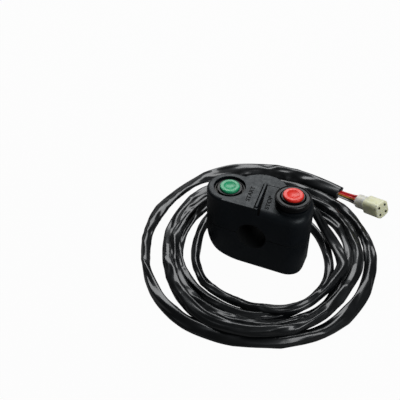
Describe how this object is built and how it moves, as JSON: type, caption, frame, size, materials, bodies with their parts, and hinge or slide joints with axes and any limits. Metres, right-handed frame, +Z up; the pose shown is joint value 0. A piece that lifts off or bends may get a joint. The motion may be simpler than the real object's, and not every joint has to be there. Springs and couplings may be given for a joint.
{
  "type": "handlebar start stop switch",
  "caption": "Handlebar clamp housing with a green start button, a red stop button in a tether collar, and a long sleeved harness ending in a pin connector.",
  "frame": {"origin": "centre of the handlebar bore, halfway through the housing's flat depth", "axes": "+X from the start button to the stop button, +Y along the handlebar towards the back, +Z up, along both buttons"},
  "size_m": [0.1857, 0.1977, 0.0646],
  "materials": {
    "housing_black": "fine moulded texture",
    "collar_black": "satin",
    "button_green": "satin",
    "button_red": "satin",
    "seal_rubber": "matte",
    "base_plastic": "matte",
    "brass": "plain brass",
    "steel": "zinc plated",
    "sleeve_black": "glossy soft vinyl",
    "wire_red": "vinyl",
    "wire_red_yellow": "vinyl with a yellow stripe",
    "wire_black": "vinyl",
    "wire_black_white": "vinyl with a white stripe",
    "connector_nylon": "natural nylon"
  },
  "bodies": {
    "housing": {"upper_housing": "housing_black", "lower_housing": "housing_black", "clamp_screws": "steel", "screw_inserts": "brass", "start_guide": "collar_black", "start_seal": "seal_rubber", "start_fixed_contacts": "brass", "start_switch_base": "base_plastic", "stop_guide": "collar_black", "stop_fixed_contacts": "brass", "stop_switch_base": "base_plastic", "base_screws": "steel", "start_spring": "steel", "stop_spring": "steel", "collar_spring": "steel", "cable_grommet": "seal_rubber", "start_leads": "wire_red", "stop_leads": "wire_black", "harness_lead": "sleeve_black", "harness_coil": "sleeve_black", "harness_tail": "sleeve_black", "wire_red": "wire_red", "wire_red_yellow": "wire_red_yellow", "wire_black": "wire_black", "wire_black_white": "wire_black_white", "connector_housing": "connector_nylon", "connector_retainer": "connector_nylon", "connector_terminals": "brass"},
    "start_button": {"start_button": "button_green", "start_contact_bridge": "brass"},
    "tether_collar": {"tether_collar": "collar_black"},
    "stop_button": {"stop_button": "button_red", "stop_contact_bridge": "brass"}
  },
  "joints": [
    {"name": "start_button_press", "type": "slide", "parent": "housing", "child": "start_button", "axis": [0, 0, 1], "range_m": [-0.0025, 0], "stiffness_N_per_m": 300, "springref_m": 0.004, "deforming": ["start_spring"]},
    {"name": "stop_button_press", "type": "slide", "parent": "housing", "child": "stop_button", "axis": [0, 0, 1], "range_m": [-0.0025, 0], "stiffness_N_per_m": 300, "springref_m": 0.004, "deforming": ["stop_spring"]},
    {"name": "tether_collar_lift", "type": "slide", "parent": "housing", "child": "tether_collar", "axis": [0, 0, 1], "range_m": [0, 0.0025], "stiffness_N_per_m": 500, "springref_m": -0.004, "deforming": ["collar_spring"]}
  ]
}
